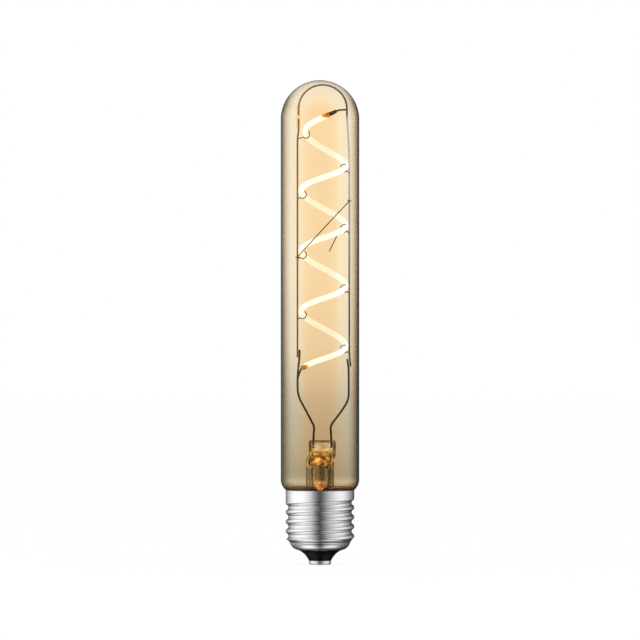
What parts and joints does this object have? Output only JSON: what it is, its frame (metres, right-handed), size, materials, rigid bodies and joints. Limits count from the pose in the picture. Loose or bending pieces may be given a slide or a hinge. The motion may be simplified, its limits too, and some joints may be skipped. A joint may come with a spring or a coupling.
{
  "type": "filament light bulb",
  "caption": "Tube-shaped amber LED filament bulb with a helical filament strip and a screw cap.",
  "frame": {"origin": "centre of the end contact's face, at the bottom of the cap", "axes": "+Z along the bulb from the cap to the dome, +X towards the side with the arched support wire, -Y towards the viewer"},
  "size_m": [0.03, 0.03, 0.185],
  "materials": {
    "amber_glass": "polished",
    "stem_glass": "fire polished",
    "strip_silicone": "soft satin",
    "nickel_wire": "drawn wire",
    "lead_wire": "drawn wire",
    "copper_wire": "drawn wire",
    "sleeve_ceramic": "glazed tube",
    "cap_metal": "rolled, fine brushed",
    "insulator_black": "glossy black",
    "contact_metal": "tinned",
    "cement": "matt, granular",
    "board": "solder mask",
    "package_black": "moulded",
    "capacitor_can": "shrunk sleeve",
    "resistor_body": "lacquered",
    "insulated_wire": "flexible sleeve"
  },
  "bodies": {
    "root": {"glass_envelope": "amber_glass", "stem": "stem_glass", "exhaust_tube": "stem_glass", "lead_wire_left": "lead_wire", "lead_wire_right": "lead_wire", "dumet_lead_left": "copper_wire", "dumet_lead_right": "copper_wire", "support_wire_arch": "nickel_wire", "support_wire_left": "nickel_wire", "insulating_sleeve": "sleeve_ceramic", "filament": "strip_silicone", "filament_terminal_top": "nickel_wire", "filament_terminal_bottom": "nickel_wire", "tie_wire": "nickel_wire", "cap_shell": "cap_metal", "cap_insulator": "insulator_black", "centre_contact": "contact_metal", "basing_cement": "cement", "driver_board": "board", "rectifier": "package_black", "driver_chip": "package_black", "capacitor": "capacitor_can", "resistor": "resistor_body", "line_wire": "insulated_wire", "neutral_wire": "insulated_wire", "hook_left_1": "nickel_wire", "hook_left_2": "nickel_wire", "hook_left_3": "nickel_wire", "hook_left_4": "nickel_wire", "hook_right_1": "nickel_wire", "hook_right_2": "nickel_wire", "hook_right_3": "nickel_wire", "hook_right_4": "nickel_wire"}
  },
  "joints": []
}
